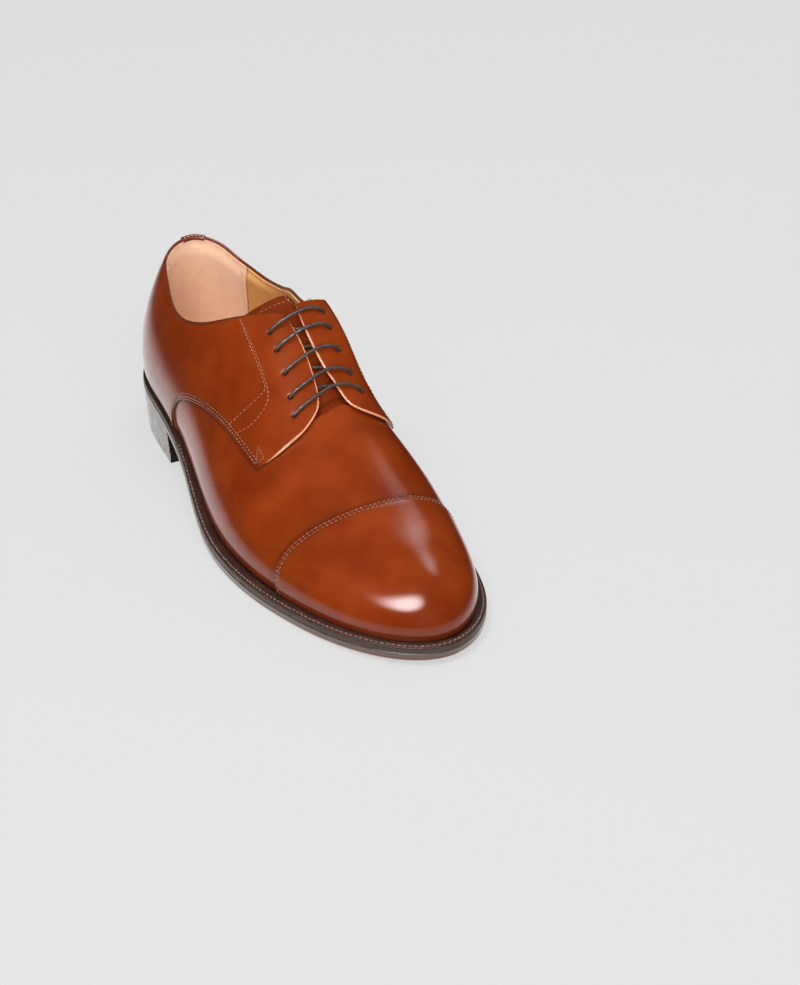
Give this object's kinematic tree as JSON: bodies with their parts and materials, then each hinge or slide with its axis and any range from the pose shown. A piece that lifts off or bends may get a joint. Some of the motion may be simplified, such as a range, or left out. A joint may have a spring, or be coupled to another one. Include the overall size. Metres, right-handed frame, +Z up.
{
  "type": "derby shoe",
  "caption": "Right men's leather derby shoe with a toe cap, open lacing with round laces tucked in, a stitched welt and a low stacked heel.",
  "frame": {"origin": "middle of the shoe's bounding box at floor level", "axes": "+X towards the toe, +Y towards the inner side of the foot, +Z up"},
  "size_m": [0.3028, 0.1138, 0.1085],
  "materials": {
    "upper_leather": "polished full-grain calf, cognac brown with a darker burnish",
    "welt_leather": "dark brown, waxed, satin",
    "sole_leather": "sole leather, grey-brown waxed edge",
    "heel_leather": "stacked leather, waxed and polished",
    "heel_rubber": "matt dark rubber",
    "nail_brass": "dull",
    "eyelet_brass": "dull",
    "insole_leather": "natural, undyed",
    "cork": "pressed cork",
    "shank_steel": "plain",
    "stiffener": "stiffened board",
    "sock_leather": "pinkish beige, suede-like",
    "side_lining": "ochre tan, matt",
    "lace_cord": "round waxed cotton, dark brown",
    "aglet": "dark brown film"
  },
  "bodies": {
    "shoe": {"vamp": "upper_leather", "toe_cap": "upper_leather", "quarter_outer": "upper_leather", "quarter_inner": "upper_leather", "heel_tab": "upper_leather", "topline_binding": "upper_leather", "welt": "welt_leather", "outsole": "sole_leather", "heel_lift_1": "heel_leather", "heel_lift_2": "heel_leather", "heel_lift_3": "heel_leather", "heel_lift_4": "heel_leather", "heel_top_piece": "heel_rubber", "heel_nail_1": "nail_brass", "heel_nail_2": "nail_brass", "heel_nail_3": "nail_brass", "heel_nail_4": "nail_brass", "heel_nail_5": "nail_brass", "eyelet_outer_1": "eyelet_brass", "eyelet_outer_2": "eyelet_brass", "eyelet_outer_3": "eyelet_brass", "eyelet_outer_4": "eyelet_brass", "eyelet_outer_5": "eyelet_brass", "eyelet_inner_1": "eyelet_brass", "eyelet_inner_2": "eyelet_brass", "eyelet_inner_3": "eyelet_brass", "eyelet_inner_4": "eyelet_brass", "eyelet_inner_5": "eyelet_brass", "insole": "insole_leather", "insole_rib": "insole_leather", "cork_filler": "cork", "shank": "shank_steel", "toe_puff": "stiffener", "heel_counter": "stiffener", "facing_stay_outer": "stiffener", "facing_stay_inner": "stiffener", "sock_liner": "sock_leather", "heel_lining": "sock_leather", "vamp_lining": "side_lining", "quarter_lining_outer": "side_lining", "quarter_lining_inner": "side_lining", "lace": "lace_cord", "aglet_outer": "aglet", "aglet_inner": "aglet"},
    "tongue": {"tongue": "upper_leather", "tongue_lining": "side_lining"}
  },
  "joints": [
    {"name": "tongue_hinge", "type": "hinge", "parent": "shoe", "child": "tongue", "pos_m": [0.0255, 0.0073, 0.0625], "axis": [0, 1, 0], "range_deg": [-12, 0]}
  ]
}
